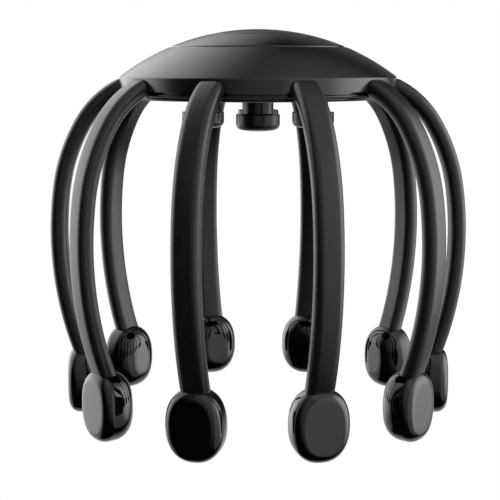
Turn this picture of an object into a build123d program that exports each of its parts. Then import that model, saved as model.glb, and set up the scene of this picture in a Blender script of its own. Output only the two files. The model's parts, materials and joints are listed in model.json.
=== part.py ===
"""Electric scalp massager: a domed hub on ten springy arms that each end in a vibrating pod.

Millimetres and degrees. Z is up, the pods stand on z = 0, the hub's axis is Z and the front is -Y.
Arm pieces are modelled on an arm that points along +X, then turned to their places.
Hub pieces are modelled with the hub's underside at z = 0, then lifted to the height of the arms' roots.
"""
import os
from math import atan, cos, degrees, radians, sin, sqrt

from build123d import *

# General clearances
SLIDE_GAP = 0.3        # round a piece that turns or slides
FIT_GAP = 0.15         # round a fixed piece that drops into a seat

# Arms
ARM_COUNT = 10
ARM_WIDTH = 10.5
ARM_THICKNESS = 6.3
ARM_BEVEL = 1.9
ROOT_ANGLE = 63.3      # tilt of the arm's outer face at the rim, up from horizontal
ROOT_BEND_RADIUS = 34.4
ROOT_BEND_ANGLE = 31.4
UPPER_BEND_RADIUS = 66.0
UPPER_BEND_ANGLE = 23.8
LOWER_BEND_RADIUS = 131.5
LOWER_BEND_ANGLE = 24.7
END_BEND_RADIUS = 94.5
END_BEND_ANGLE = 6.8
SPRING_WIDTH = 6.0
SPRING_THICKNESS = 0.6
LEAD_WIDTH = 2.2
LEAD_THICKNESS = 0.8

# Pods
POD_WIDTH = 21.2
POD_HEIGHT = 26.0
POD_DEPTH = 14.0
POD_DRAFT = 0.2        # how much each side draws in over the depth, towards the head
POD_OUTER_EDGE = 4.0   # rounding of the edge that faces out
POD_INNER_EDGE = 7.5   # rounding of the edge that faces the head
POD_SET_OUT = 6.3      # outer face beyond the middle of the arm's end
ARM_PLUG = 4.0         # how deep the arm plugs into the pod's top
MOTOR_RADIUS = 5.0
MOTOR_THICKNESS = 3.4
MOTOR_CLEAR = 2.0      # motor's edge below the middle of the arm's end

# Hub, heights above its underside
RIM_RADIUS = 52.4
RIM_HEIGHT = 8.2
DOME_RISE = 17.8       # dome's top above the rim's edge
WALL = 2.2
BAND_BOTTOM = 3.3
SEAT_COVER = 0.45      # band left above each arm's seat
RING_LIP_INSET = 1.4   # ring's lip inside the rim
RING_LIP_BOTTOM = 1.3
RING_LIP_TOP = 2.5
RING_WIDTH = 8.9       # from the rim in to the ring's bore
RING_ROOM = 0.5        # ring's top below the cover's inner corner
BASE_INSET = 3.0       # underside cover's lip inside the rim
BASE_LIP = 1.1
BASE_EDGE = 0.8
GROOVE_DEPTH = 2.8     # how far the fine groove above the base's lip runs in
BASE_PLATE = 2.0
RIB_WIDTH = 2.0
RIB_SPACING = 22.0

# Trim cap and button
TRIM_RADIUS = 32.7
TRIM_EDGE = 1.7        # thickness of the cap's edge below the cover's flat
LEDGE_WIDTH = 3.3
LEDGE_THICKNESS = 1.8
COVER_FLAT = 0.8       # flat ring of the cover round the trim cap
TRIM_WALL = 2.0
BUTTON_RADIUS = 18.0
BUTTON_TRAVEL = 0.8
BUTTON_SKIN = 1.8
BUTTON_WALL = 1.6
BUTTON_FLANGE = 1.2
STEM_RADIUS = 1.65
SWITCH_SIZE = 6.0
SWITCH_HEIGHT = 3.6
STEM_ENTRY = 0.6       # how far the stem reaches into the switch at rest

# Massage nubs under the hub
NUB_CIRCLE = 21.0
NUB_RADIUS = 8.0
NUB_SIDE = 5.4         # height of the cap's side
NUB_EDGE = 2.3
NUB_CROWN = 0.9        # bulge of the cap's underside
NUB_STEM_RADIUS = 5.7
NUB_STEM = 5.1
NUB_NECK_RADIUS = 3.4
NUB_HEAD_RADIUS = 4.6
NUB_HEAD = 1.2

# Inside the hub
BOARD_THICKNESS = 1.6
BOARD_TOP = 12.8
BOARD_CLEAR = 1.5      # board's edge inside the cover's slope
BATTERY_WIDTH = 30.0
BATTERY_LENGTH = 42.0
BATTERY_HEIGHT = 6.0
BATTERY_CORNER = 2.0
BATTERY_ROOM = 0.4     # battery above the nubs' heads
BOSS_COUNT = 4
BOSS_INSET = 5.5       # bosses' circle inside the board's edge
BOSS_RADIUS = 3.2
BOSS_SHOULDER = 1.2
SCREW_RADIUS = 1.2
SCREW_LENGTH = 9.0
SCREW_HEAD_RADIUS = 2.3
SCREW_HEAD = 1.4
SCREW_SINK = 0.4       # head below the underside
PAD_RADIUS = 4.4
PAD_HEIGHT = 1.8

# Charging inlet at the back, a USB-C receptacle
PORT_WIDTH = 8.94
PORT_HEIGHT = 3.26
PORT_LENGTH = 7.35
PORT_SHELL = 0.3
TONGUE_WIDTH = 6.7
TONGUE_THICKNESS = 0.7
TONGUE_INSET = 0.9     # tongue's tip behind the receptacle's mouth
PORT_MARGIN = 0.2      # opening in the rim round the receptacle
PORT_INSET = 0.9       # receptacle's mouth behind the rim
CHARGER_WIDTH = 18.0
CHARGER_LENGTH = 13.0
CHARGER_THICKNESS = 1.0

# Places worked out from the sizes above
ARM_BENDS = [          # (radius, turn) of each stretch, from the rim to the pod
    (ROOT_BEND_RADIUS, ROOT_BEND_ANGLE),
    (UPPER_BEND_RADIUS, UPPER_BEND_ANGLE),
    (LOWER_BEND_RADIUS, LOWER_BEND_ANGLE),
    (END_BEND_RADIUS, END_BEND_ANGLE),
]
ARM_AZIMUTHS = [-90 + (i + 0.5) * 360 / ARM_COUNT for i in range(ARM_COUNT)]
NUB_AZIMUTHS = {"front": -90, "right": 0, "back": 90, "left": 180}
HINGE_RADIUS = RIM_RADIUS
HINGE_HEIGHT = RIM_HEIGHT - SEAT_COVER - SLIDE_GAP - ARM_THICKNESS / 2
HUB_HEIGHT = RIM_HEIGHT + DOME_RISE
DOME_RADIUS = (RIM_RADIUS**2 + DOME_RISE**2) / (2 * DOME_RISE)
RING_BORE = RIM_RADIUS - RING_WIDTH
RING_TOP = RIM_HEIGHT - WALL / 2 - RING_ROOM
BASE_RADIUS = RIM_RADIUS - BASE_INSET
BATTERY_SEAT = BASE_PLATE + NUB_HEAD + BATTERY_ROOM
Y_AXIS = (0, 1, 0)


def dome_height(radius):
    """Height at a radius of the sphere that the cover, the trim cap and the button share."""
    return HUB_HEIGHT - DOME_RADIUS + sqrt(DOME_RADIUS**2 - radius**2)


def dome_arc(outer, inner):
    """Arc of that sphere's profile, from an outer radius in to an inner one."""
    return ThreePointArc(*[(radius, dome_height(radius)) for radius in (outer, (outer + inner) / 2, inner)])


def normal(tilt):
    """Unit vector across the arm at a tilt up from horizontal."""
    return Vector(cos(radians(tilt)), 0, sin(radians(tilt)))


def arm_stretches():
    """Bend centre, radius, first tilt and turn of each arc of the arm's middle line."""
    stretches = []
    tilt, place = ROOT_ANGLE, Vector(HINGE_RADIUS, 0, 0)
    for radius, turn in ARM_BENDS:
        centre = place - normal(tilt) * radius
        stretches.append((centre, radius, tilt, turn))
        tilt -= turn
        place = centre + normal(tilt) * radius
    return stretches, place, tilt


STRETCHES, TIP, TIP_TILT = arm_stretches()
TIP_DIRECTION = normal(TIP_TILT - 90)
POD_TOP = TIP.Z + ARM_PLUG
POD_CENTRE = POD_TOP - POD_HEIGHT / 2
POD_OUTER_FACE = TIP.X + POD_SET_OUT
ARM_FRAME = Pos(0, 0, POD_HEIGHT - POD_TOP)
HUB_FRAME = ARM_FRAME * Pos(0, 0, -HINGE_HEIGHT)
COLLAR_BOTTOM = dome_height(BUTTON_RADIUS) - TRIM_WALL      # trim cap's collar over the button's flange
COVER_FLAT_RADIUS = TRIM_RADIUS + FIT_GAP + COVER_FLAT
COVER_FLAT_HEIGHT = dome_height(COVER_FLAT_RADIUS)
TRIM_SEAT = COVER_FLAT_HEIGHT - TRIM_EDGE
LEDGE_BOTTOM = TRIM_SEAT - LEDGE_THICKNESS
SLOPE_LOW = (RIM_RADIUS - WALL, RIM_HEIGHT - WALL / 2)              # cover's sloping inside
SLOPE_HIGH = (COVER_FLAT_RADIUS + WALL / 2, LEDGE_BOTTOM)
SLOPE = (SLOPE_HIGH[0] - SLOPE_LOW[0]) / (SLOPE_HIGH[1] - SLOPE_LOW[1])
BOARD_RADIUS = SLOPE_LOW[0] + SLOPE * (BOARD_TOP - SLOPE_LOW[1]) - BOARD_CLEAR
BOSS_CIRCLE = BOARD_RADIUS - BOSS_INSET


def turned(profile, radius=0.0, azimuth=0.0):
    """Solid of revolution of a profile in the XZ plane, about Z, moved out to a radius and azimuth."""
    return Rot(0, 0, azimuth) * Pos(radius, 0, 0) * revolve(Plane.XZ * profile, Axis.Z)


def disc(radius, bottom, top):
    """Upright cylinder between two heights."""
    return Pos(0, 0, bottom) * extrude(Circle(radius), top - bottom)


def tube(outer, inner, bottom, top):
    """Upright tube between two heights."""
    return Pos(0, 0, bottom) * extrude(Circle(outer) - Circle(inner), top - bottom)


def arm_section(offset=0.0):
    """Flat bar with bevelled edges: local X across the arm's thickness, local Y across its width."""
    bar = Rectangle(ARM_THICKNESS + 2 * offset, ARM_WIDTH + 2 * offset)
    return chamfer(bar.vertices(), ARM_BEVEL)


def along_arm(section):
    """Carry a section along the arm's arcs, from the hinge to the arm's end."""
    body = Part()
    for centre, radius, tilt, turn in STRETCHES:
        start = Plane(centre + normal(tilt) * radius, x_dir=normal(tilt), z_dir=normal(tilt + 90))
        body += revolve(start * section, Axis(centre, Y_AXIS), turn)
    return body


def below_tip(section, length):
    """Carry a section straight down from the arm's end."""
    end = Plane(TIP, x_dir=normal(TIP_TILT), z_dir=TIP_DIRECTION)
    return extrude(end * section, length, dir=(0, 0, -1))


def knuckle(offset=0.0):
    """The arm's round root: its section spun about the hinge line."""
    half = arm_section(offset) & Pos(ARM_THICKNESS, 0) * Rectangle(2 * ARM_THICKNESS, 2 * ARM_WIDTH)
    return Pos(HINGE_RADIUS, 0, 0) * revolve(Plane.XY * half, Axis.Y)


def spring_section():
    """Flat strip in the middle of the arm's section."""
    return Rectangle(SPRING_THICKNESS, SPRING_WIDTH)


def lead_section():
    """Flat two-wire lead on the outer face of the spring."""
    return Pos((SPRING_THICKNESS + LEAD_THICKNESS) / 2, 0) * Rectangle(LEAD_THICKNESS, LEAD_WIDTH)


def arm_spring():
    """Flat spring steel that runs inside the sleeve and gives the arm its spring."""
    return along_arm(spring_section())


def arm_sleeve():
    """Silicone sleeve with its round root, moulded over the spring and the motor's lead."""
    core = spring_section() + lead_section()
    return along_arm(arm_section()) + knuckle() - along_arm(core)


def motor_middle():
    """Centre of the coin motor, straight below the end of its lead."""
    lead_end = TIP + normal(TIP_TILT) * lead_section().center().X
    return Vector(lead_end.X, 0, TIP.Z - MOTOR_CLEAR - MOTOR_RADIUS)


def pod_motor():
    """Coin vibration motor, with the flat lead that runs up the arm to the hub."""
    face = Plane(motor_middle(), z_dir=(1, 0, 0))
    coin = face * extrude(Circle(MOTOR_RADIUS), MOTOR_THICKNESS / 2, both=True)
    return along_arm(lead_section()) + below_tip(lead_section(), MOTOR_CLEAR + MOTOR_RADIUS) + coin


def motor_slot():
    """Slot that takes the motor straight down out of the arm's socket."""
    middle = motor_middle()
    bottom = middle.Z - MOTOR_RADIUS - FIT_GAP
    plan = Rectangle(MOTOR_THICKNESS + 2 * FIT_GAP, 2 * (MOTOR_RADIUS + FIT_GAP))
    return Pos(middle.X, 0, bottom) * extrude(plan, TIP.Z + MOTOR_THICKNESS / 2 - bottom)


def pod_blank():
    """Drafted stadium with its outer and inner edges rounded."""
    face = Plane((POD_OUTER_FACE, 0, POD_CENTRE), x_dir=(0, 0, 1), z_dir=(-1, 0, 0))
    draft = POD_DRAFT / POD_DEPTH
    lost = draft * POD_OUTER_EDGE
    outline = face * SlotOverall(POD_HEIGHT + 2 * lost, POD_WIDTH + 2 * lost)
    blank = extrude(outline, POD_DEPTH, taper=degrees(atan(draft)))
    blank = fillet(blank.edges().group_by(Axis.X)[-1], POD_OUTER_EDGE)
    return fillet(blank.edges().group_by(Axis.X)[0], POD_INNER_EDGE)


def pod():
    """Moulded pod, open at its top for the arm's end, with a slot below it for the motor."""
    return pod_blank() - along_arm(arm_section()) - motor_slot()


def sockets():
    """Round seats in the rim for the arms' roots, with their running gap."""
    seat = Pos(0, 0, HINGE_HEIGHT) * knuckle(SLIDE_GAP)
    return [Rot(0, 0, azimuth) * seat for azimuth in ARM_AZIMUTHS]


def boss_places():
    """The screws' places, between the nubs."""
    turn = 360 / BOSS_COUNT
    return [Rot(0, 0, (i + 0.5) * turn) * Pos(BOSS_CIRCLE, 0, 0) for i in range(BOSS_COUNT)]


def port_middle():
    """Height of the charging inlet's middle, halfway up the rim band."""
    return (BAND_BOTTOM + RIM_HEIGHT) / 2


def port_block(margin, length):
    """Rounded bar of the inlet's outline, from its mouth inwards."""
    outline = SlotOverall(PORT_WIDTH + 2 * margin, PORT_HEIGHT + 2 * margin)
    mouth = Plane((0, RIM_RADIUS - PORT_INSET, port_middle()), x_dir=(1, 0, 0), z_dir=(0, -1, 0))
    return extrude(mouth * outline, length)


def port_opening():
    """Clear way through the rim band in front of and round the inlet."""
    return port_block(PORT_MARGIN, PORT_LENGTH) + port_block(PORT_MARGIN, -2 * PORT_INSET)


def top_cover():
    """Domed cover with its rim band, trim recess, screw bosses, arm seats and inlet opening."""
    seat_radius = TRIM_RADIUS + FIT_GAP
    outline = Polyline(
        (RIM_RADIUS, RIM_HEIGHT),
        (RIM_RADIUS, BAND_BOTTOM),
        (RIM_RADIUS - WALL, BAND_BOTTOM),
        SLOPE_LOW,
        SLOPE_HIGH,
        (TRIM_RADIUS - LEDGE_WIDTH, LEDGE_BOTTOM),
        (TRIM_RADIUS - LEDGE_WIDTH, TRIM_SEAT),
        (seat_radius, TRIM_SEAT),
        (seat_radius, COVER_FLAT_HEIGHT),
        (COVER_FLAT_RADIUS, COVER_FLAT_HEIGHT),
    )
    cover = turned(make_face(outline + dome_arc(RIM_RADIUS, COVER_FLAT_RADIUS)))
    shoulder = BOSS_RADIUS + BOSS_SHOULDER
    under_dome = dome_height(BOSS_CIRCLE + shoulder) - WALL / 2
    roof = min(under_dome, LEDGE_BOTTOM + LEDGE_THICKNESS / 2)
    pilot = BASE_PLATE + PAD_HEIGHT
    boss = disc(BOSS_RADIUS, pilot, BOARD_TOP) + disc(shoulder, BOARD_TOP, roof)
    boss -= disc(SCREW_RADIUS, pilot, screw_seat() + SCREW_LENGTH)
    for place in boss_places():
        cover += place * boss
    return cover - sockets() - port_opening()


def trim_cap():
    """Glossy cap that drops into the cover and carries on its dome, with the button's round hole."""
    hole = BUTTON_RADIUS + SLIDE_GAP
    rim = dome_height(TRIM_RADIUS)
    outline = Polyline(
        (hole, dome_height(hole)),
        (hole, COLLAR_BOTTOM),
        (hole + BUTTON_FLANGE + SLIDE_GAP, COLLAR_BOTTOM),
        (TRIM_RADIUS - LEDGE_WIDTH, rim - TRIM_WALL),
        (TRIM_RADIUS - LEDGE_WIDTH, TRIM_SEAT),
        (TRIM_RADIUS, TRIM_SEAT),
        (TRIM_RADIUS, rim),
    )
    return turned(make_face(outline + dome_arc(TRIM_RADIUS, hole)))


def power_button():
    """Large round push button, held under the trim cap by its flange, with a stem down to the switch."""
    rim = dome_height(BUTTON_RADIUS)
    flange_top = COLLAR_BOTTOM - SLIDE_GAP
    flange_bottom = flange_top - BUTTON_FLANGE
    inner = BUTTON_RADIUS - BUTTON_WALL
    under = rim - BUTTON_SKIN
    stem_end = BOARD_TOP + SWITCH_HEIGHT - STEM_ENTRY
    outline = Polyline(
        (0, HUB_HEIGHT),
        (0, stem_end),
        (STEM_RADIUS, stem_end),
        (STEM_RADIUS, under),
        (inner, under),
        (inner, flange_bottom),
        (BUTTON_RADIUS + BUTTON_FLANGE, flange_bottom),
        (BUTTON_RADIUS + BUTTON_FLANGE, flange_top),
        (BUTTON_RADIUS, flange_top),
        (BUTTON_RADIUS, rim),
    )
    return turned(make_face(outline + dome_arc(BUTTON_RADIUS, 0)))


def arm_ring():
    """Ring inside the rim that holds the arms' roots, with the lip that shows under the rim band."""
    ring = tube(RIM_RADIUS - WALL - FIT_GAP, RING_BORE, RING_LIP_BOTTOM, RING_TOP)
    ring += tube(RIM_RADIUS - RING_LIP_INSET, RING_BORE, RING_LIP_BOTTOM, RING_LIP_TOP)
    bay = extrude(Rectangle(CHARGER_WIDTH + 2 * FIT_GAP, RIM_RADIUS), RING_TOP)
    return ring - sockets() - Pos(0, RIM_RADIUS, charger_seat()) * bay


def charger_seat():
    """Height of the ring's floor under the charging inlet's board."""
    return port_middle() - PORT_HEIGHT / 2 - CHARGER_THICKNESS


def screw_seat():
    """Height of the face under each screw's head."""
    return SCREW_SINK + SCREW_HEAD


def base_cover():
    """Underside cover with its rounded lip, nub holes, battery ribs and screw pads."""
    outline = Polyline(
        (0, 0),
        (BASE_RADIUS, 0),
        (BASE_RADIUS, BASE_LIP),
        (BASE_RADIUS - GROOVE_DEPTH, BASE_LIP),
        (BASE_RADIUS - GROOVE_DEPTH, RING_LIP_BOTTOM),
        (RING_BORE - FIT_GAP, RING_LIP_BOTTOM),
        (RING_BORE - FIT_GAP, BASE_PLATE),
        (0, BASE_PLATE),
        close=True,
    )
    profile = make_face(outline)
    lip = profile.vertices().sort_by_distance((BASE_RADIUS, 0))[0]
    cover = turned(fillet(lip, BASE_EDGE))
    rib = extrude(Rectangle(BATTERY_WIDTH, RIB_WIDTH), BATTERY_SEAT - BASE_PLATE)
    for side in (-1, 1):
        cover += Pos(0, side * RIB_SPACING / 2, BASE_PLATE) * rib
    for place in boss_places():
        cover += place * disc(PAD_RADIUS, BASE_PLATE, BASE_PLATE + PAD_HEIGHT)
        cover -= place * disc(SCREW_RADIUS + FIT_GAP, 0, BASE_PLATE + PAD_HEIGHT)
        cover -= place * disc(SCREW_HEAD_RADIUS + FIT_GAP, 0, screw_seat())
    for azimuth in NUB_AZIMUTHS.values():
        cover -= Rot(0, 0, azimuth) * Pos(NUB_CIRCLE, 0, 0) * disc(NUB_NECK_RADIUS, 0, BASE_PLATE)
    return cover


def nub(azimuth):
    """Soft massage nub: a button-like cap on a stem, pushed through the underside cover."""
    edge = (NUB_RADIUS, -NUB_STEM - NUB_SIDE)
    lowest = (0, -NUB_STEM - NUB_SIDE - NUB_CROWN)
    outline = Polyline(
        edge,
        (NUB_RADIUS, -NUB_STEM),
        (NUB_STEM_RADIUS, -NUB_STEM),
        (NUB_STEM_RADIUS, 0),
        (NUB_NECK_RADIUS, 0),
        (NUB_NECK_RADIUS, BASE_PLATE),
        (NUB_HEAD_RADIUS, BASE_PLATE),
        (NUB_HEAD_RADIUS, BASE_PLATE + NUB_HEAD),
        (0, BASE_PLATE + NUB_HEAD),
        lowest,
    )
    profile = make_face(outline + TangentArc(lowest, edge, tangent=(1, 0)))
    corner = profile.vertices().sort_by_distance(edge)[0]
    return turned(fillet(corner, NUB_EDGE), NUB_CIRCLE, azimuth)


def main_board():
    """Round circuit board on the cover's bosses."""
    board = disc(BOARD_RADIUS, BOARD_TOP - BOARD_THICKNESS, BOARD_TOP)
    for place in boss_places():
        board -= place * disc(BOSS_RADIUS + FIT_GAP, 0, BOARD_TOP)
    return board


def button_switch():
    """Push switch on the board, with the well that the button's stem works in."""
    top = BOARD_TOP + SWITCH_HEIGHT
    well = STEM_ENTRY + BUTTON_TRAVEL + SLIDE_GAP
    body = Pos(0, 0, BOARD_TOP) * extrude(Rectangle(SWITCH_SIZE, SWITCH_SIZE), SWITCH_HEIGHT)
    return body - disc(STEM_RADIUS + SLIDE_GAP, top - well, top)


def battery():
    """Flat lithium cell on the underside cover's ribs."""
    outline = RectangleRounded(BATTERY_WIDTH, BATTERY_LENGTH, BATTERY_CORNER)
    return Pos(0, 0, BATTERY_SEAT) * extrude(outline, BATTERY_HEIGHT)


def charger_board():
    """Small board that carries the charging inlet."""
    back = sqrt((RIM_RADIUS - WALL - FIT_GAP) ** 2 - (CHARGER_WIDTH / 2) ** 2)
    board = extrude(Rectangle(CHARGER_WIDTH, CHARGER_LENGTH), CHARGER_THICKNESS)
    return Pos(0, back - CHARGER_LENGTH / 2, charger_seat()) * board


def charging_port():
    """Steel shell of the inlet, open at its mouth, with its contact tongue."""
    shell = port_block(0, PORT_LENGTH) - port_block(-PORT_SHELL, PORT_LENGTH - PORT_SHELL)
    length = PORT_LENGTH - PORT_SHELL - TONGUE_INSET
    middle = RIM_RADIUS - PORT_INSET - TONGUE_INSET - length / 2
    return shell + Pos(0, middle, port_middle()) * Box(TONGUE_WIDTH, length, TONGUE_THICKNESS)


def cover_screws():
    """Pan-head screws that hold the underside cover to the bosses."""
    screw = disc(SCREW_HEAD_RADIUS, SCREW_SINK, screw_seat())
    screw += disc(SCREW_RADIUS, screw_seat(), screw_seat() + SCREW_LENGTH)
    return Compound(children=[place * screw for place in boss_places()])


def main():
    os.makedirs("parts", exist_ok=True)
    hub = {
        "top_cover": top_cover(),
        "trim_cap": trim_cap(),
        "power_button": power_button(),
        "arm_ring": arm_ring(),
        "base_cover": base_cover(),
        "main_board": main_board(),
        "button_switch": button_switch(),
        "battery": battery(),
        "charger_board": charger_board(),
        "charging_port": charging_port(),
        "cover_screws": cover_screws(),
    }
    for side, azimuth in NUB_AZIMUTHS.items():
        hub[f"nub_{side}"] = nub(azimuth)
    for name, piece in hub.items():
        export_step(HUB_FRAME * piece, f"parts/{name}.step")
    arm = {"arm_sleeve": arm_sleeve(), "arm_spring": arm_spring(), "pod": pod(), "pod_motor": pod_motor()}
    for number, azimuth in enumerate(ARM_AZIMUTHS, start=1):
        for name, piece in arm.items():
            export_step(Rot(0, 0, azimuth) * ARM_FRAME * piece, f"parts/{name}_{number:02d}.step")


main()
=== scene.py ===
"""Looks of the electric scalp massager: a black domed hub on ten springy arms with glossy pods.

Shapes are worked out in millimetres and put into the meshes in metres. Z is up, the pods stand on z = 0,
the hub's axis is Z and the front is -Y. An arm's pieces are worked out on an arm that points along +X, and
the hub's pieces with the hub's underside at height 0.
"""
import json
from math import cos, pi, radians, sin

import bmesh
import bpy
import numpy as np
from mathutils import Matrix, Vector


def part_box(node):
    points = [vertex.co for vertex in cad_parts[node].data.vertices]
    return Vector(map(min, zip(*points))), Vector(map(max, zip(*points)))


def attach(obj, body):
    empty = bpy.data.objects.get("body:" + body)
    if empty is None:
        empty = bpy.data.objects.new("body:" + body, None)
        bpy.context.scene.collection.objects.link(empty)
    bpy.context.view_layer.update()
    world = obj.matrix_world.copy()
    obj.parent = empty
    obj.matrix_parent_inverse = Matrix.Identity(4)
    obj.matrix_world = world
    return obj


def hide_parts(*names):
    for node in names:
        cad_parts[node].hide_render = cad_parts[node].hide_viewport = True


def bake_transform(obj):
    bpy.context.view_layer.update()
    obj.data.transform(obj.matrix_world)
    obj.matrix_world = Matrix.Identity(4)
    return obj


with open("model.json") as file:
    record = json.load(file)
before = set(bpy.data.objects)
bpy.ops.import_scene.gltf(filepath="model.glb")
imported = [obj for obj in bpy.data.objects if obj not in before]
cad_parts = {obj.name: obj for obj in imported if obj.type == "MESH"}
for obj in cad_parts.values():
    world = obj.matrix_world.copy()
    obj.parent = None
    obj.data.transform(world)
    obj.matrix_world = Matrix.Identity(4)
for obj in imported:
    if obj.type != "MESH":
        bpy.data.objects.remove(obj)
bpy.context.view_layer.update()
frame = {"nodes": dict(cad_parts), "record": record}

MM = 0.001


def extent(node):
    """Lowest and highest corner of a CAD node, in millimetres."""
    return [np.array(corner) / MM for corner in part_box(node)]


# Places and sizes that the CAD nodes give, in millimetres
HUB = extent("base_cover")[0][2]                       # height of the hub's underside
RIM = extent("top_cover")[1][0]
BAND_BOTTOM = extent("top_cover")[0][2] - HUB
COVER_TOP = extent("top_cover")[1][2] - HUB
HUB_HEIGHT = extent("power_button")[1][2] - HUB
TRIM = extent("trim_cap")[1][0]
TRIM_SEAT = extent("trim_cap")[0][2] - HUB
RING_LIP = -extent("arm_ring")[0][1]
RING_BOTTOM = extent("arm_ring")[0][2] - HUB
RING_TOP = extent("arm_ring")[1][2] - HUB
CHARGER_SEAT = extent("charger_board")[0][2] - HUB
BASE = extent("base_cover")[1][0]
NUB = extent("nub_front")[1][0]
NUB_CIRCLE = extent("nub_right")[1][0] - NUB
NUB_BOTTOM = extent("nub_front")[0][2] - HUB
POD_OUTER = extent("pod_03")[1][0]                     # this pod's arm points along +X
POD_DEPTH = POD_OUTER - extent("pod_03")[0][0]
POD_WIDTH = 2 * extent("pod_03")[1][1]
PORT_LOW, PORT_HIGH = extent("charging_port")
SCREW_LOW = extent("cover_screws")[0][2] - HUB

# Arms
ARM_COUNT = 10
ARM_WIDTH = 10.5
ARM_THICKNESS = 6.28
ARM_CORNER = 2.9
ROOT_ANGLE = 63.3                                      # tilt of the outer face at the rim, in degrees
ARM_BENDS = [(34.4, 31.4), (66.0, 23.8), (131.5, 24.7), (94.5, 6.8)]   # (radius, turn in degrees)
HINGE_HEIGHT = 4.3
ARM_AZIMUTHS = [-90 + (i + 0.5) * 360 / ARM_COUNT for i in range(ARM_COUNT)]

# Pods
POD_HEIGHT = 26.0
POD_DRAFT = 0.2
POD_OUTER_EDGE = 4.0
POD_INNER_EDGE = 7.5
POD_OVAL = 2.3                                         # exponent of the outline: an ellipse has 2
POD_FLAT = 9.0                                         # inset of the profile's ends, past both edges
POD_FACE_ROWS = 4                                      # rows of a flat face, from its middle out

# Hub
RIM_HEIGHT = 8.2
RIM_EDGE = 0.6
RIM_TANGENT = 1.4                                      # from the rim in to the dome's first row
WALL = 2.2
CEILING_DROP = 1.1                                     # the wall's inner corner below the rim's edge
FIT_GAP = 0.15                                         # round a fixed piece in its seat
ROOT_GAP = 0.12                                        # round an arm's root in the band
COVER_FLAT = 33.65                                     # outer radius of the flat round the trim cap
SEAT_EDGES = (0.15, 0.12)                              # radii of the flat's two edges
LEDGE = 29.4                                           # inner radius of the ledge under the trim cap
LEDGE_THICKNESS = 1.8
LEDGE_ROOT = 1.1                                       # the ledge's underside beyond the flat
# Wall of the boss that takes a screw: (radius, height)
BOSS_PROFILE = [(1.2, 3.8), (3.2, 3.8), (3.2, 12.8), (4.4, 12.8), (4.4, 15.0)]
INLET_AZIMUTH = 90
INLET_SECTOR = 8                                       # half its angle, in degrees
TRIM_RIM_EDGE = 0.3
TRIM_RIM_TANGENT = 1.0
TRIM_WALL = 2.0
TRIM_HOLE_EDGE = 0.35
TRIM_COLLAR = 1.5                                      # width of the flat under the hole's edge
BUTTON = 18.0
BUTTON_SEAM = 0.15
BUTTON_EDGE = 0.4
BUTTON_TANGENT = 0.8                                   # from an edge at the seam to the crown's first row
BUTTON_SKIN = 1.8
BUTTON_WALL = 1.6
BUTTON_FLANGE = 1.2                                    # thickness, and reach under the trim cap
BUTTON_PLAY = 0.3                                      # between the flange and the trim cap
BUTTON_STEM = (1.65, 15.8)                             # radius, height of its end
RING_BORE = 43.5
RING_LIP_TOP = 2.5
RING_LIP_EDGE = 0.55
RING_JOINT = 46.0                                      # outer radius of the ring that joins the blocks
RING_JOINT_INSETS = (0.05, 0.1)                        # from the blocks' bottom and the lip's top
CHARGER_GAP = 0.02
SOCKET_GAP = 0.2
BASE_EDGE = 0.8
BASE_LIP = 1.1
BASE_LIP_EDGE = 0.2
BASE_PLATE = 2.0
BASE_RIM = 6.0                                         # width of the revolved border of the underside
BASE_STEP = 0.05                                       # from that border in to the shoulder's inner edge
BASE_LIP_WIDTH = 2.8
BASE_SHOULDER = 1.3                                    # height inside the lip
NUB_STEM = 5.1
NUB_STEM_RADIUS = 5.7
NUB_EDGE = 2.3
NUB_STEM_EDGE = 0.3
NUB_CROWN = 0.9
NUB_CROWN_TANGENT = 3                                  # from the side in to the crown's last row
NUB_NECK = 3.4
NUB_HEAD = 4.6
NUB_HEAD_HEIGHT = 1.2
NUB_AZIMUTHS = {"front": -90, "right": 0, "back": 90, "left": 180}
SCREW_CIRCLE = 33.0
SCREW_AZIMUTHS = (45, 135, 225, 315)
SCREW_HEAD = 2.3
SCREW_HEAD_HEIGHT = 1.4
SCREW_HEAD_EDGE = 0.45
SCREW_FACE = 1.6                                       # radius of the head's flat middle
SCREW_DOMING = 0.08
SCREW_SHANK = 1.2
SCREW_LENGTH = 10.4
SCREW_HOLE = 2.45
SCREW_SEAT = 1.8
SCREW_BORE = 1.35
CROSS_MOUTH = (0.32, 1.35)                             # half-width and reach of the recess's bars
CROSS_FLOOR = (0.2, 0.75)
CROSS_DEPTHS = (0.9, 1.1)                              # at the floor's edge and at the middle
PORT_MARGIN = 0.2
PORT_SHELL = 0.3
PORT_EDGE = 0.14
TONGUE_DEPTH = 0.9
TONGUE_SIZE = (6.7, 0.7, 6.15)
CONTACT_COUNT = 12                                     # on each face of the tongue
CONTACT_PITCH = 0.5
CONTACT_OFFSET = 0.35
CONTACT_DEPTH = 1.5
CONTACT_SIZE = (0.25, 0.03, 4.0)

DOME_RISE = HUB_HEIGHT - RIM_HEIGHT
DOME = (RIM**2 + DOME_RISE**2) / (2 * DOME_RISE)       # radius of the dome's sphere
PORT_WIDTH = PORT_HIGH[0] - PORT_LOW[0]
PORT_HEIGHT = PORT_HIGH[2] - PORT_LOW[2]
PORT_MIDDLE = (PORT_HIGH[2] + PORT_LOW[2]) / 2 - HUB


# Mesh helpers

def grid(points, wrap_u=False, wrap_v=False):
    """Quads over an array of points (u, v, 3); a wrapped side closes on itself."""
    index = np.arange(points.shape[0] * points.shape[1]).reshape(points.shape[:2])
    if wrap_u:
        index = np.vstack([index, index[:1]])
    if wrap_v:
        index = np.hstack([index, index[:, :1]])
    corners = [index[:-1, :-1], index[1:, :-1], index[1:, 1:], index[:-1, 1:]]
    return points.reshape(-1, 3), np.stack(corners, -1).reshape(-1, 4)


def turned(part, azimuth):
    """A part turned about Z by an azimuth in degrees."""
    c, s = cos(radians(azimuth)), sin(radians(azimuth))
    return part[0] @ np.array([[c, s, 0], [-s, c, 0], [0, 0, 1]]), part[1]


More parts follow.
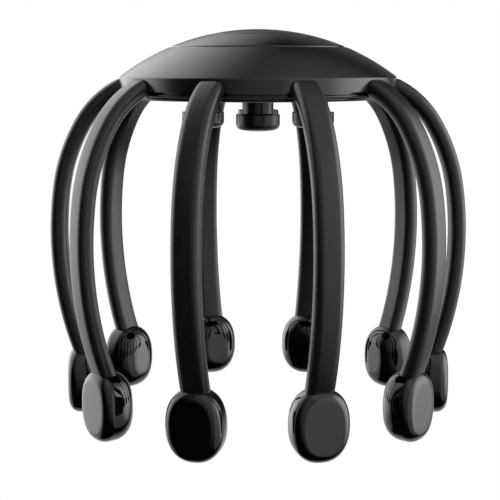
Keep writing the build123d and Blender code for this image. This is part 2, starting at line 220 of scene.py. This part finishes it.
def moved(part, *shift):
    """A part moved by a shift."""
    return part[0] + np.array(shift, float), part[1]


def rounded(corners, steps=6):
    """Outline through (x, y, radius) corners: each corner becomes an arc that is tangent to both its sides,
    centre + slerp(start, end)."""
    corners = np.array(corners, float)
    outline = [corners[:1, :2]]
    share = np.linspace(0, 1, steps + 1)[:, None]
    for before, corner, after in zip(corners[:-2], corners[1:-1], corners[2:]):
        if corner[2] == 0:
            outline.append(corner[None, :2])
            continue
        to_before = (before - corner)[:2] / np.linalg.norm((before - corner)[:2])
        to_after = (after - corner)[:2] / np.linalg.norm((after - corner)[:2])
        half = np.arccos(to_before @ to_after) / 2
        inward = (to_before + to_after) / np.linalg.norm(to_before + to_after)
        centre = corner[:2] + inward * corner[2] / sin(half)
        start = corner[:2] + to_before * corner[2] / np.tan(half) - centre
        end = corner[:2] + to_after * corner[2] / np.tan(half) - centre
        sweep = pi - 2 * half
        arc = (np.sin((1 - share) * sweep) * start + np.sin(share * sweep) * end) / sin(sweep)
        outline.append(centre + arc)
    outline.append(corners[-1:, :2])
    return np.vstack(outline)


def spun(profile, turns=240):
    """Surface of revolution of (r, z) points: P(a, p) = (r cos a, r sin a, z)."""
    a = np.linspace(0, 2 * pi, turns, endpoint=False)
    radius, z = np.asarray(profile, float).T
    height = np.tile(z, (turns, 1))
    return grid(np.stack([np.outer(np.cos(a), radius), np.outer(np.sin(a), radius), height], -1), wrap_u=True)


def stadium(profile, straight, turns=40):
    """A profile of (radius, depth) points carried round a middle line of a length: P(a, p) = end of the
    middle line + radius (cos a, sin a), at a depth. Local x and y are the outline's plane, z the depth."""
    radius, depth = np.asarray(profile, float).T
    a = np.linspace(-pi / 2, pi / 2, turns + 1)
    a = np.concatenate([a, a + pi])
    end = np.repeat([straight / 2, -straight / 2], turns + 1)[:, None]
    x = np.outer(np.cos(a), radius) + end
    return grid(np.stack([x, np.outer(np.sin(a), radius), np.tile(depth, (len(a), 1))], -1), wrap_u=True)


def ruled(first, last, rows=3):
    """Ruled surface: P(s, t) = (1 - t) first(s) + t last(s)."""
    t = np.linspace(0, 1, rows + 1)[None, :, None]
    return grid(first[:, None] * (1 - t) + last[:, None] * t)


def piece(name, parts, material, body, replaces=(), sharp=32):
    """One object from (points, faces) parts: doubles merged, normals outwards, edges over `sharp` degrees
    crisp."""
    offsets = np.cumsum([0] + [len(points) for points, _ in parts[:-1]])
    points = np.vstack([points for points, _ in parts]) * MM
    faces = np.vstack([faces + offset for (_, faces), offset in zip(parts, offsets)])
    mesh = bpy.data.meshes.new(name)
    mesh.from_pydata(points.tolist(), [], faces.tolist())
    work = bmesh.new()
    work.from_mesh(mesh)
    bmesh.ops.remove_doubles(work, verts=work.verts, dist=2e-6)
    bmesh.ops.dissolve_degenerate(work, edges=work.edges, dist=1e-7)
    bmesh.ops.recalc_face_normals(work, faces=work.faces)
    work.to_mesh(mesh)
    work.free()
    mesh.shade_smooth()
    mesh.set_sharp_from_angle(angle=radians(sharp))
    mesh.materials.append(material)
    thing = bpy.data.objects.new(name, mesh)
    bpy.context.scene.collection.objects.link(thing)
    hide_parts(*replaces)
    if body:
        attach(thing, body)
    return thing


# Materials

def linear(code):
    """Linear colour of an sRGB hex value."""
    value = np.array([int(code[i:i + 2], 16) for i in (1, 3, 5)]) / 255
    value = np.where(value <= 0.04045, value / 12.92, ((value + 0.055) / 1.055) ** 2.4)
    return (*value.tolist(), 1.0)


def add(tree, kind, settings=None, **inputs):
    """A node of a kind with its settings; each input, named with underscores or by its number after one
    underscore, is a value or another node's output."""
    made = tree.nodes.new(kind)
    for key, value in (settings or {}).items():
        setattr(made, key, value)
    for key, value in inputs.items():
        socket = made.inputs[int(key[1:])] if key[1:].isdigit() else made.inputs[key.replace("_", " ")]
        if isinstance(value, bpy.types.NodeSocket):
            tree.links.new(value, socket)
        else:
            socket.default_value = value
    return made


def surface(name, colour, roughness, ior=1.5, metallic=0.0, coat=0.0, grain=0.3, depth=0.004, wander=0.1,
            mottle=8.0):
    """A moulded, cast or plated finish: grain is the size in mm of its finest relief, depth that relief's
    height in mm, mottle the size in mm of the soft patches over which its roughness wanders by `wander` of
    itself."""
    material = bpy.data.materials.new(name)
    material.use_nodes = True
    tree = material.node_tree
    tree.nodes.clear()
    place = add(tree, "ShaderNodeTexCoord").outputs["Object"]
    patches = add(tree, "ShaderNodeTexNoise", Vector=place, Scale=1 / (mottle * MM), Detail=3.0,
                  Roughness=0.55)
    relief = add(tree, "ShaderNodeTexNoise", Vector=place, Scale=1 / (grain * MM), Detail=2.0, Roughness=0.5)
    rough = add(tree, "ShaderNodeMapRange", Value=patches.outputs["Fac"], From_Min=0.3, From_Max=0.7,
                To_Min=roughness * (1 - wander), To_Max=roughness * (1 + wander))
    bump = add(tree, "ShaderNodeBump", Height=relief.outputs["Fac"], Strength=1.0, Distance=depth * MM)
    shader = add(tree, "ShaderNodeBsdfPrincipled", Base_Color=linear(colour), Metallic=metallic,
                 Roughness=rough.outputs["Result"], Normal=bump.outputs["Normal"])
    if not metallic:
        shader.inputs["IOR"].default_value = ior
    shader.inputs["Coat Weight"].default_value = coat
    add(tree, "ShaderNodeOutputMaterial", Surface=shader.outputs["BSDF"])
    return material


# ABS with a fine spark-eroded texture: broad, soft reflections
satin_abs = surface("satin moulded ABS", "#0c0c0d", 0.22, grain=0.35, depth=0.002)
# ABS from a polished tool: sharper reflections
gloss_abs = surface("polished ABS", "#09090a", 0.09, grain=2.5, depth=0.001)
button_abs = surface("satin button ABS", "#0b0b0c", 0.10, grain=0.35, depth=0.002)
# piano-black ABS from a mirror-polished tool, with the faintest orange peel
mirror_abs = surface("mirror-polished ABS", "#030303", 0.035, grain=3.0, depth=0.0004, wander=0.2)
# liquid silicone with a soft-touch lacquer: even satin with hardly any grain
silicone = surface("soft-touch silicone", "#0c0c0d", 0.30, ior=1.45, grain=0.5, depth=0.0015, wander=0.12)
nub_silicone = surface("satin silicone", "#0b0b0c", 0.27, ior=1.43, grain=0.4, depth=0.002, wander=0.12)
spring_steel = surface("blued spring steel", "#7d838c", 0.28, metallic=1.0, grain=0.2, depth=0.002)
motor_steel = surface("nickel-plated motor can", "#c2bfba", 0.22, metallic=1.0, grain=0.6, depth=0.002)
port_steel = surface("nickel-plated inlet shell", "#b9b7b2", 0.25, metallic=1.0, grain=0.6, depth=0.001)
contact_gold = surface("gold-plated contacts", "#d8b25a", 0.2, metallic=1.0, grain=0.3, depth=0.0005)
tongue_lcp = surface("glass-filled LCP", "#161617", 0.45, grain=0.2, depth=0.003)
screw_steel = surface("black zinc screws", "#3a3a3d", 0.35, metallic=1.0, grain=0.2, depth=0.003)
solder_mask = surface("black solder mask", "#101311", 0.35, coat=0.4, grain=0.5, depth=0.006)
switch_plastic = surface("glass-filled nylon", "#1d1d1e", 0.5, grain=0.25, depth=0.006)
cell_foil = surface("aluminium laminate foil", "#b4b6ba", 0.32, metallic=1.0, grain=1.2, depth=0.02,
                    wander=0.25)

FINISHES = {
    "satin_abs": satin_abs, "gloss_abs": gloss_abs, "button_abs": button_abs, "pod_abs": mirror_abs,
    "arm_silicone": silicone, "nub_silicone": nub_silicone, "spring_steel": spring_steel,
    "motor_steel": motor_steel, "port_steel": port_steel, "screw_steel": screw_steel,
    "circuit_board": solder_mask, "switch_plastic": switch_plastic, "cell_foil": cell_foil,
}


# Hub

def sphere_height(r, radius=DOME, top=HUB_HEIGHT):
    """Height at a distance from the axis of a sphere whose top is at a height."""
    return top - radius + np.sqrt(radius**2 - np.square(r))


def sphere_profile(outer, inner, steps, **sphere):
    """Profile of such a sphere, from an outer to an inner distance from the axis."""
    r = np.linspace(outer, inner, steps + 1)
    return np.column_stack([r, sphere_height(r, **sphere)])


def on_rim(outline, radius):
    """Outline of (arc length at the rim, height) wrapped round the hub's axis at a radius, about
    azimuth 0."""
    angle = outline[:, 0] / RIM
    return np.column_stack([radius * np.cos(angle), radius * np.sin(angle), outline[:, 1]])


def band_wall(first, last, radius, rows=4):
    """The band's wall between two such outlines: (1 - t) first(s) + t last(s), wrapped round the axis."""
    t = np.linspace(0, 1, rows + 1)[None, :, None]
    flat = first[:, None] * (1 - t) + last[:, None] * t
    return grid(on_rim(flat.reshape(-1, 2), radius).reshape(*flat.shape[:2], 3))


def notched_sector(left, right, top):
    """The band round one arm, out to `left` and `right` degrees: its outer wall runs from a border with the
    arm's notch in it to the rim, and the notch's walls run in from that border."""
    half = ARM_WIDTH / 2 + ROOT_GAP
    height = HINGE_HEIGHT + ARM_THICKNESS / 2 + ROOT_GAP
    ends = (-radians(left) * RIM, radians(right) * RIM)
    left_edge, right_edge = ([(x, BAND_BOTTOM, 0) for x in np.linspace(start, end, 10)]
                             for start, end in ((ends[0], -half), (half, ends[1])))
    wall = np.linspace(BAND_BOTTOM, height - ARM_CORNER, 5)[1:-1]
    low = rounded([*left_edge, *((-half, z, 0) for z in wall), (-half, height, ARM_CORNER), (-1, height, 0),
                   (1, height, 0), (half, height, ARM_CORNER), *((half, z, 0) for z in wall[::-1]),
                   *right_edge], steps=10)
    share = np.concatenate([[0], np.cumsum(np.linalg.norm(np.diff(low, axis=0), axis=1))])
    high = np.column_stack([ends[0] + (ends[1] - ends[0]) * share / share[-1], np.full(len(low), top)])
    inner = RIM - WALL
    return [band_wall(low, high, RIM),
            ruled(on_rim(low, inner), on_rim(low, RIM), rows=1),
            band_wall(high, low, inner)]


def slot_inside(outline, half_straight, radius):
    """Outline of a slot about the origin that goes with a border round it, point for point: the nearest
    point of the slot's middle line, plus its radius towards the border."""
    middle = np.column_stack([np.clip(outline[:, 0], -half_straight, half_straight), np.zeros(len(outline))])
    away = outline - middle
    return middle + radius * away / np.linalg.norm(away, axis=1)[:, None]


def even(corners, steps=16):
    """Closed outline through corners with evenly spread points on each side."""
    corners = np.array(corners + corners[:1], float)
    t = np.arange(steps)[:, None] / steps
    sides = [a * (1 - t) + b * t for a, b in zip(corners[:-1], corners[1:])]
    return np.vstack(sides + [corners[:1]])


def inlet_sector(half_angle, top, steps=16):
    """The band round the charging inlet, with its slot-shaped opening and that opening's walls."""
    half, low, high = radians(half_angle) * RIM, BAND_BOTTOM - PORT_MIDDLE, top - PORT_MIDDLE
    border = even([(-half, low), (half, low), (half, high), (-half, high)], steps)
    opening = slot_inside(border, (PORT_WIDTH - PORT_HEIGHT) / 2, PORT_HEIGHT / 2 + PORT_MARGIN)
    border, opening = (line + (0, PORT_MIDDLE) for line in (border, opening))
    inner, floor = RIM - WALL, border[:steps + 1]
    return [band_wall(opening, border, RIM),
            band_wall(border, opening, inner),
            ruled(on_rim(opening, inner), on_rim(opening, RIM), rows=1),
            ruled(on_rim(floor, inner), on_rim(floor, RIM), rows=1)]


def top_cover():
    """A revolved dome whose rim has a small radius, the band with its notches and inlet opening, and the
    bosses."""
    slope = sphere_profile(RIM - RIM_TANGENT, COVER_FLAT, steps=40)
    rim = rounded([(RIM, BAND_BOTTOM, 0), (RIM, RIM_HEIGHT, RIM_EDGE), (*slope[0], 0)], steps=8)[1:]
    band_top = rim[0, 1]
    seat, ledge_bottom = TRIM + FIT_GAP, TRIM_SEAT - LEDGE_THICKNESS
    inside = rounded([(*slope[-1], 0), (COVER_FLAT, COVER_TOP, SEAT_EDGES[0]),
                      (seat, COVER_TOP, SEAT_EDGES[1]), (seat, TRIM_SEAT, 0), (LEDGE, TRIM_SEAT, 0),
                      (LEDGE, ledge_bottom, 0), (COVER_FLAT + LEDGE_ROOT, ledge_bottom, 0),
                      (RIM - WALL, RIM_HEIGHT - CEILING_DROP, 0), (RIM - WALL, band_top, 0)], steps=3)
    parts = [spun(np.vstack([rim, slope[1:-1], inside]), turns=360)]
    half = 180 / ARM_COUNT
    for azimuth in ARM_AZIMUTHS:
        left = half - (INLET_SECTOR if azimuth - half == INLET_AZIMUTH else 0)
        right = half - (INLET_SECTOR if azimuth + half == INLET_AZIMUTH else 0)
        parts += [turned(part, azimuth) for part in notched_sector(left, right, band_top)]
    parts += [turned(part, INLET_AZIMUTH) for part in inlet_sector(INLET_SECTOR, band_top)]
    boss = moved(spun(BOSS_PROFILE, turns=48), SCREW_CIRCLE, 0, 0)
    parts += [turned(boss, azimuth) for azimuth in SCREW_AZIMUTHS]
    return parts


def socket_block(profile, steps=36):
    """A block of the ring between two sockets: a closed profile of (r, z) points carried along an arc,
    P(a, p) = (r cos a, r sin a, z). At each height the arc ends a gap short of the arm's rounded side, and
    both ends are closed towards the profile's middle."""
    radius, z = profile.T
    under = np.clip(ARM_CORNER + HINGE_HEIGHT - ARM_THICKNESS / 2 - z, 0, ARM_CORNER)
    side = ARM_WIDTH / 2 - ARM_CORNER + np.sqrt(ARM_CORNER**2 - under**2)
    reach = pi / ARM_COUNT - np.arcsin((side + SOCKET_GAP) / RING_LIP)
    share = np.linspace(-1, 1, steps + 1)
    share = np.concatenate([share[:1], share, share[-1:]])[:, None]
    angle, radius, z = share * reach, np.tile(radius, (len(share), 1)), np.tile(z, (len(share), 1))
    for line in (radius, z):
        line[[0, -1]] = line[1].mean()
    angle[[0, -1]] = share[[0, -1]] * reach.min()
    return grid(np.stack([np.cos(angle) * radius, np.sin(angle) * radius, z], -1), wrap_v=True)


def socket_ring():
    """The ring's blocks between the arms' sockets, with their rounded lip, on a narrow ring that joins them.
    The block at the inlet is low, under the charger's board."""
    wall = RIM - WALL - FIT_GAP

    def outline(top):
        return rounded([(RING_BORE, RING_BOTTOM, 0), (RING_LIP, RING_BOTTOM, RING_LIP_EDGE),
                        (RING_LIP, RING_LIP_TOP, RING_LIP_EDGE), (wall, RING_LIP_TOP, 0), (wall, top, 0),
                        (RING_BORE, top, 0)], steps=8)

    tall, low = socket_block(outline(RING_TOP)), socket_block(outline(CHARGER_SEAT - CHARGER_GAP))
    bottom, top = RING_BOTTOM + RING_JOINT_INSETS[0], RING_LIP_TOP - RING_JOINT_INSETS[1]
    parts = [spun([(RING_BORE, bottom), (RING_JOINT, bottom), (RING_JOINT, top), (RING_BORE, top),
                   (RING_BORE, bottom)], turns=180)]
    for azimuth in ARM_AZIMUTHS:
        middle = azimuth + 180 / ARM_COUNT
        parts.append(turned(low if middle == INLET_AZIMUTH else tall, middle))
    return parts


def trim_cap():
    """A revolved ring that carries on the dome, with small radii at its rim and its hole."""
    hole = BUTTON + BUTTON_SEAM
    crown = sphere_profile(TRIM - TRIM_RIM_TANGENT, hole + BUTTON_TANGENT, steps=24)
    rim, collar = sphere_height(TRIM), sphere_height(BUTTON) - TRIM_WALL
    edge = rounded([(TRIM, TRIM_SEAT, 0), (TRIM, rim, TRIM_RIM_EDGE), (*crown[0], 0)], steps=8)
    inside = rounded([(*crown[-1], 0), (hole, sphere_height(hole), TRIM_HOLE_EDGE), (hole, collar, 0),
                      (hole + TRIM_COLLAR, collar, 0), (LEDGE, rim - TRIM_WALL, 0), (LEDGE, TRIM_SEAT, 0),
                      (TRIM, TRIM_SEAT, 0)], steps=5)
    return [spun(np.vstack([edge, crown[1:-1], inside]), turns=300)]


def power_button():
    """A revolved cap on the dome's sphere, with a soft edge, a flange and a stem."""
    crown = sphere_profile(BUTTON - BUTTON_TANGENT, 0, steps=24)
    rim, (stem, stem_end) = sphere_height(BUTTON), BUTTON_STEM
    bore, under, flange = BUTTON - BUTTON_WALL, rim - BUTTON_SKIN, rim - TRIM_WALL - BUTTON_PLAY
    skirt = rounded([(0, stem_end, 0), (stem, stem_end, 0), (stem, under, 0), (bore, under, 0),
                     (bore, flange - BUTTON_FLANGE, 0), (BUTTON + BUTTON_FLANGE, flange - BUTTON_FLANGE, 0),
                     (BUTTON + BUTTON_FLANGE, flange, 0), (BUTTON, flange, 0), (BUTTON, rim, BUTTON_EDGE),
                     (*crown[0], 0)], steps=6)
    return [spun(np.vstack([skirt, crown[1:]]), turns=240)]


def underside():
    """A revolved lip and a flat underside in four quarters, each with a screw's counterbore."""
    border, shoulder = BASE - BASE_RIM, BASE - BASE_LIP_WIDTH
    step = border - BASE_STEP
    lip = rounded([(border, 0, 0), (BASE, 0, BASE_EDGE), (BASE, BASE_LIP, BASE_LIP_EDGE),
                   (shoulder, BASE_LIP, 0), (shoulder, BASE_SHOULDER, 0), (step, BASE_SHOULDER, 0),
                   (step, BASE_PLATE, 0), (0, BASE_PLATE, 0)], steps=8)
    angle = np.linspace(0, pi / 2, 76)
    arc = border * np.column_stack([np.cos(angle), np.sin(angle)])
    side = np.linspace(0, 1, 25)[:-1, None]
    quarter = np.vstack([side * arc[0], arc, (1 - side[1:]) * arc[-1], [[0, 0]]])
    middle = SCREW_CIRCLE * np.array([cos(pi / 4), sin(pi / 4)])
    counterbore = middle + slot_inside(quarter - middle, 0, SCREW_HOLE)
    hole = middle + slot_inside(quarter - middle, 0, SCREW_BORE)
    lines = [np.column_stack([line, np.full(len(line), height)]) for line, height in
             ((quarter, 0), (counterbore, 0), (counterbore, SCREW_SEAT), (hole, SCREW_SEAT))]
    faces = [ruled(first, last) for first, last in zip(lines[:-1], lines[1:])]
    quarters = [turned(face, azimuth) for azimuth in (0, 90, 180, 270) for face in faces]
    return [spun(lip, turns=300), *quarters]


def nub():
    """A revolved cap with a crown and a soft edge, on its stem."""
    side, head = NUB_BOTTOM + NUB_CROWN, BASE_PLATE + NUB_HEAD_HEIGHT
    bulge = (NUB**2 + NUB_CROWN**2) / (2 * NUB_CROWN)
    crown = sphere_profile(0, NUB - NUB_CROWN_TANGENT, steps=8, radius=bulge, top=-NUB_BOTTOM) * (1, -1)
    profile = rounded([*((r, z, 0) for r, z in crown), (NUB, side, NUB_EDGE), (NUB, -NUB_STEM, NUB_STEM_EDGE),
                       (NUB_STEM_RADIUS, -NUB_STEM, NUB_STEM_EDGE), (NUB_STEM_RADIUS, 0, 0), (NUB_NECK, 0, 0),
                       (NUB_NECK, BASE_PLATE, 0), (NUB_HEAD, BASE_PLATE, 0), (NUB_HEAD, head, 0),
                       (0, head, 0)], steps=10)
    return moved(spun(profile, turns=96), NUB_CIRCLE, 0, 0)


def cross_radius(angle, half_width, reach):
    """Distance from the middle of a cross to its edge, at an angle: the farther of its two bars."""
    c, s = np.abs(np.cos(angle)) + 1e-9, np.abs(np.sin(angle)) + 1e-9
    along, across = np.minimum(reach / c, half_width / s), np.minimum(half_width / c, reach / s)
    return np.maximum(along, across)


def screw():
    """A pan-head screw seen from below: a rounded head with a cross recess, and its shank."""
    angle = np.linspace(0, 2 * pi, 192, endpoint=False)

    def ring(radius, height):
        return np.column_stack([radius * np.cos(angle), radius * np.sin(angle), np.full(len(angle), height)])

    mouth, floor = cross_radius(angle, *CROSS_MOUTH), cross_radius(angle, *CROSS_FLOOR)
    neck, end = SCREW_LOW + SCREW_HEAD_HEIGHT, SCREW_LOW + SCREW_LENGTH
    head = rounded([(SCREW_FACE, SCREW_LOW, 0), (SCREW_HEAD, SCREW_LOW + SCREW_DOMING, SCREW_HEAD_EDGE),
                    (SCREW_HEAD, neck, 0), (SCREW_SHANK, neck, 0), (SCREW_SHANK, end, 0), (0, end, 0)])
    rows = [ring(np.zeros(len(angle)), SCREW_LOW + CROSS_DEPTHS[1]), ring(floor, SCREW_LOW + CROSS_DEPTHS[0]),
            ring(mouth, SCREW_LOW)]
    rows += [ring(np.full(len(angle), r), z) for r, z in head]
    return moved(grid(np.stack(rows, 1), wrap_u=True), SCREW_CIRCLE, 0, 0)


def facing_back(part):
    """A part whose local z is its depth into the hub, put at the inlet's mouth and facing +Y."""
    x, y, depth = part[0].T
    return np.column_stack([x, PORT_HIGH[1] - depth, y + PORT_MIDDLE]), part[1]


def box(x, y, z, width, height, length):
    """A box that starts at depth z, centred on (x, y)."""
    corners = np.array([[sx * width / 2 + x, sy * height / 2 + y, z + sz * length]
                        for sz in (0, 1) for sy in (-1, 1) for sx in (-1, 1)])
    faces = [[0, 1, 3, 2], [4, 6, 7, 5], [0, 4, 5, 1], [1, 5, 7, 3], [3, 7, 6, 2], [2, 6, 4, 0]]
    return corners, np.array(faces)


def inlet_shell():
    """The inlet's drawn steel shell, with a rounded mouth and a closed back."""
    length = PORT_HIGH[1] - PORT_LOW[1]
    outer = PORT_HEIGHT / 2
    inner, back = outer - PORT_SHELL, length - PORT_SHELL
    profile = rounded([(0, back, 0), (inner, back, 0), (inner, 0, PORT_EDGE), (outer, 0, PORT_EDGE),
                       (outer, length, 0), (0, length, 0)], steps=4)
    return [facing_back(stadium(profile, PORT_WIDTH - PORT_HEIGHT, turns=20))]


def hub_pieces():
    """Every piece of the hub's look, on the hub's body or the button's."""
    def lifted(parts):
        return [moved(part, 0, 0, HUB) for part in parts]

    piece("cover_shell", lifted(top_cover()), satin_abs, "hub", ["top_cover"])
    piece("trim_dome", lifted(trim_cap()), gloss_abs, "hub", ["trim_cap"])
    piece("button_cap", lifted(power_button()), button_abs, "button", ["power_button"])
    piece("socket_ring", lifted(socket_ring()), satin_abs, "hub", ["arm_ring"])
    piece("underside_shell", lifted(underside()), satin_abs, "hub", ["base_cover"])
    for side, azimuth in NUB_AZIMUTHS.items():
        piece(f"nub_cap_{side}", lifted([turned(nub(), azimuth)]), nub_silicone, "hub",
              [f"nub_{side}"])
    screws = [turned(screw(), azimuth) for azimuth in SCREW_AZIMUTHS]
    piece("screws", lifted(screws), screw_steel, "hub", ["cover_screws"])
    piece("inlet_shell", lifted(inlet_shell()), port_steel, "hub", ["charging_port"])
    tongue = facing_back(box(0, 0, TONGUE_DEPTH, *TONGUE_SIZE))
    piece("inlet_tongue", lifted([tongue]), tongue_lcp, "hub", ["charging_port"])
    places = [(i - (CONTACT_COUNT - 1) / 2) * CONTACT_PITCH for i in range(CONTACT_COUNT)]
    contacts = [facing_back(box(x, side * CONTACT_OFFSET, CONTACT_DEPTH, *CONTACT_SIZE))
                for x in places for side in (-1, 1)]
    piece("inlet_contacts", lifted(contacts), contact_gold, "hub", ["charging_port"])


# Arms

def arm_path(step=1.35):
    """Middle line of an arm from its hinge: centre + radius * normal(tilt) along each bend. Returns places
    and tilts."""
    tilt, place = ROOT_ANGLE, np.array([RIM, HUB + HINGE_HEIGHT])
    places, tilts = [place[None]], [[tilt]]
    for radius, turn in ARM_BENDS:
        centre = place - radius * np.array([cos(radians(tilt)), sin(radians(tilt))])
        count = max(3, round(radius * radians(turn) / step))
        angles = tilt - turn * np.linspace(0, 1, count + 1)[1:]
        points = centre + radius * np.column_stack([np.cos(np.radians(angles)), np.sin(np.radians(angles))])
        places.append(points)
        tilts.append(angles)
        tilt, place = tilt - turn, points[-1]
    return np.vstack(places), np.concatenate(tilts)


def sleeve():
    """The sleeve: a rounded bar carried along the arm, P = place + x normal + y across. Its root turns the
    bar's half sections back about the hinge, P = hinge + x cos(f) normal - |x| sin(f) along + y across."""
    half_x, half_y = ARM_THICKNESS / 2, ARM_WIDTH / 2
    quarter = rounded([(half_x, 0, 0), (half_x, half_y, ARM_CORNER), (0, half_y, 0)], steps=10)
    half = np.vstack([quarter, quarter[-2::-1] * (-1, 1)])
    x, y = np.vstack([half, half[-2:0:-1] * (1, -1)]).T
    places, tilts = arm_path()
    normals = np.column_stack([np.cos(np.radians(tilts)), np.sin(np.radians(tilts))])
    fold = np.linspace(pi / 2, 0, 10)[:-1, None]
    along = np.array([normals[0, 1], -normals[0, 0]])
    out, back = (x * np.cos(fold))[..., None], (np.abs(x) * np.sin(fold))[..., None]
    root = places[0] + out * normals[0] - back * along
    body = places[:, None] + x[None, :, None] * normals[:, None]
    rows = np.concatenate([root, body, np.repeat(places[-1][None, None], len(x), 1)])
    across = np.tile(y, (len(rows), 1))
    across[-1] = 0
    return grid(np.stack([rows[..., 0], across, rows[..., 1]], -1), wrap_v=True), places


def pod(turns=120):
    """The pod: a superellipse (a cos^q t, b sin^q t), q = 2 / exponent, carried through its depth along a
    drafted wall with rounded edges, each row set in along the outline's normals, and closed by flat faces."""
    half = np.array([POD_HEIGHT, POD_WIDTH]) / 2 + POD_DRAFT * POD_OUTER_EDGE / POD_DEPTH
    t = np.linspace(0, 2 * pi, turns, endpoint=False)[:, None]
    circle = np.hstack([np.cos(t), np.sin(t)])
    outline = half * np.sign(circle) * np.abs(circle) ** (2 / POD_OVAL)
    normal = np.sign(circle) * np.abs(circle) ** (2 - 2 / POD_OVAL) / half
    normal /= np.linalg.norm(normal, axis=1)[:, None]
    profile = rounded([(POD_FLAT, 0, 0), (0, 0, POD_OUTER_EDGE), (POD_DRAFT, POD_DEPTH, POD_INNER_EDGE),
                       (POD_FLAT, POD_DEPTH, 0)], steps=14)
    inset, depth = profile[1:-1].T
    rows = outline[:, None] - inset[None, :, None] * normal[:, None]
    share = np.linspace(0, 1, POD_FACE_ROWS + 1)[None, :, None]
    rows = np.concatenate([rows[:, :1] * share[:, :-1], rows, rows[:, -1:] * share[:, -2::-1]], 1)
    depth = np.concatenate([np.zeros(POD_FACE_ROWS), depth, np.full(POD_FACE_ROWS, POD_DEPTH)])
    x = np.broadcast_to(POD_OUTER - depth, rows.shape[:2])
    return grid(np.stack([x, rows[..., 1], rows[..., 0] + POD_HEIGHT / 2], -1), wrap_u=True)


def arm_pieces():
    """Each arm's sleeve, a bar curved along the arm's bends out from the hub, and its pod on the arm's body.
    """
    bar, middle_line = sleeve()
    for number, azimuth in enumerate(ARM_AZIMUTHS, start=1):
        body = f"arm_{number:02d}"
        arm = piece(f"sleeve_{number:02d}", [turned(bar, azimuth)], silicone, None,
                    [f"arm_sleeve_{number:02d}"], sharp=50)
        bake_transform(arm)
        piece(f"pod_shell_{number:02d}", [turned(pod(), azimuth)], mirror_abs, body,
              [f"pod_{number:02d}"], sharp=50)


def finish_cad_nodes():
    """Every CAD node takes the finish of its slot in the record."""
    slots = {part["node"]: part["material_slot"] for part in frame["record"]["subparts"]}
    for name, node in frame["nodes"].items():
        node.data.materials.clear()
        node.data.materials.append(FINISHES[slots[name]])


# Floor, light and camera

# Soft boxes round the object: azimuth from the front to the right, elevation, half-width and soft edge in
# degrees, then radiance
SOFT_BOXES = [
    (97, 8, 1, 42, 3.3),
    (66, -4, 36, 12, 0.65),
    (76, 55, 13, 50, 0.5),
    (-122, 23, 7, 50, 2.8),
    (-115, -14, 26, 12, 0.8),
    (30, 32, 24, 54, 0.6),
    (180, 8, 12, 24, 0.12),
    (172, -40, 25, 26, 0.9),
]
FILL = 0.01
FLOOR_REACH = 3                                        # in metres, from the axis to each side
FLOOR_HEIGHT = -0.0005                                 # in metres


def direction(azimuth, elevation):
    """Unit vector towards an azimuth from the front to the right, and an elevation."""
    a, e = radians(azimuth), radians(elevation)
    return (sin(a) * cos(e), -cos(a) * cos(e), sin(e))


def white_to_camera(tree, otherwise, white):
    """The shader that the camera sees as `white` and every other ray as `otherwise`."""
    ray = add(tree, "ShaderNodeLightPath")
    mix = add(tree, "ShaderNodeMixShader", _0=ray.outputs["Is Camera Ray"], _1=otherwise.outputs[0],
              _2=white.outputs[0])
    return mix.outputs[0]


def white_world():
    """Studio surroundings of soft boxes over a dim fill. The camera itself sees white."""
    world = bpy.data.worlds.new("studio")
    bpy.context.scene.world = world
    world.use_nodes = True
    tree = world.node_tree
    tree.nodes.clear()
    towards = add(tree, "ShaderNodeTexCoord").outputs["Generated"]
    total = FILL
    for azimuth, elevation, half, edge, radiance in SOFT_BOXES:
        facing = add(tree, "ShaderNodeVectorMath", {"operation": "DOT_PRODUCT"}, _0=towards,
                     _1=direction(azimuth, elevation))
        glow = add(tree, "ShaderNodeMapRange", {"interpolation_type": "SMOOTHSTEP"},
                   Value=facing.outputs["Value"], From_Min=cos(radians(half + edge)),
                   From_Max=cos(radians(half)), To_Max=radiance)
        both = add(tree, "ShaderNodeMath", {"operation": "ADD"}, _0=glow.outputs["Result"], _1=total)
        total = both.outputs["Value"]
    studio = add(tree, "ShaderNodeBackground", Color=linear("#ffffff"), Strength=total)
    white = add(tree, "ShaderNodeBackground", Color=linear("#ffffff"))
    add(tree, "ShaderNodeOutputWorld", Surface=white_to_camera(tree, studio, white))


def white_floor():
    """A plain white floor under the pods, which the glossy pieces don't mirror."""
    material = bpy.data.materials.new("white floor")
    material.use_nodes = True
    tree = material.node_tree
    tree.nodes.clear()
    paper = add(tree, "ShaderNodeBsdfDiffuse", Color=linear("#f2f2f2"))
    white = add(tree, "ShaderNodeEmission", Color=linear("#ffffff"), Strength=1.0)
    add(tree, "ShaderNodeOutputMaterial", Surface=white_to_camera(tree, paper, white))
    mesh = bpy.data.meshes.new("floor")
    reach, z = FLOOR_REACH, FLOOR_HEIGHT
    mesh.from_pydata([(-reach, -reach, z), (reach, -reach, z), (reach, reach, z), (-reach, reach, z)], [],
                     [(0, 1, 2, 3)])
    mesh.materials.append(material)
    floor = bpy.data.objects.new("floor", mesh)
    bpy.context.scene.collection.objects.link(floor)
    floor.visible_glossy = False


def camera():
    """The camera at the viewing angle: 497 mm from the axis, 137 mm up, 8.4 degrees down."""
    distance, height, down, turn = 0.49694, 0.13747, radians(8.405), 0.0027
    data = bpy.data.cameras.new("camera")
    data.sensor_width, data.lens, data.shift_x = 36.0, 93.34, -0.0162
    data.clip_start, data.clip_end = 0.01, 20
    eye = bpy.data.objects.new("camera", data)
    eye.location = (distance * sin(turn), -distance * cos(turn), height)
    eye.rotation_euler = (pi / 2 - down, 0, turn)
    bpy.context.scene.collection.objects.link(eye)
    bpy.context.scene.camera = eye


hub_pieces()
arm_pieces()
finish_cad_nodes()
white_world()
white_floor()
camera()
bpy.context.scene.view_settings.view_transform = "Standard"
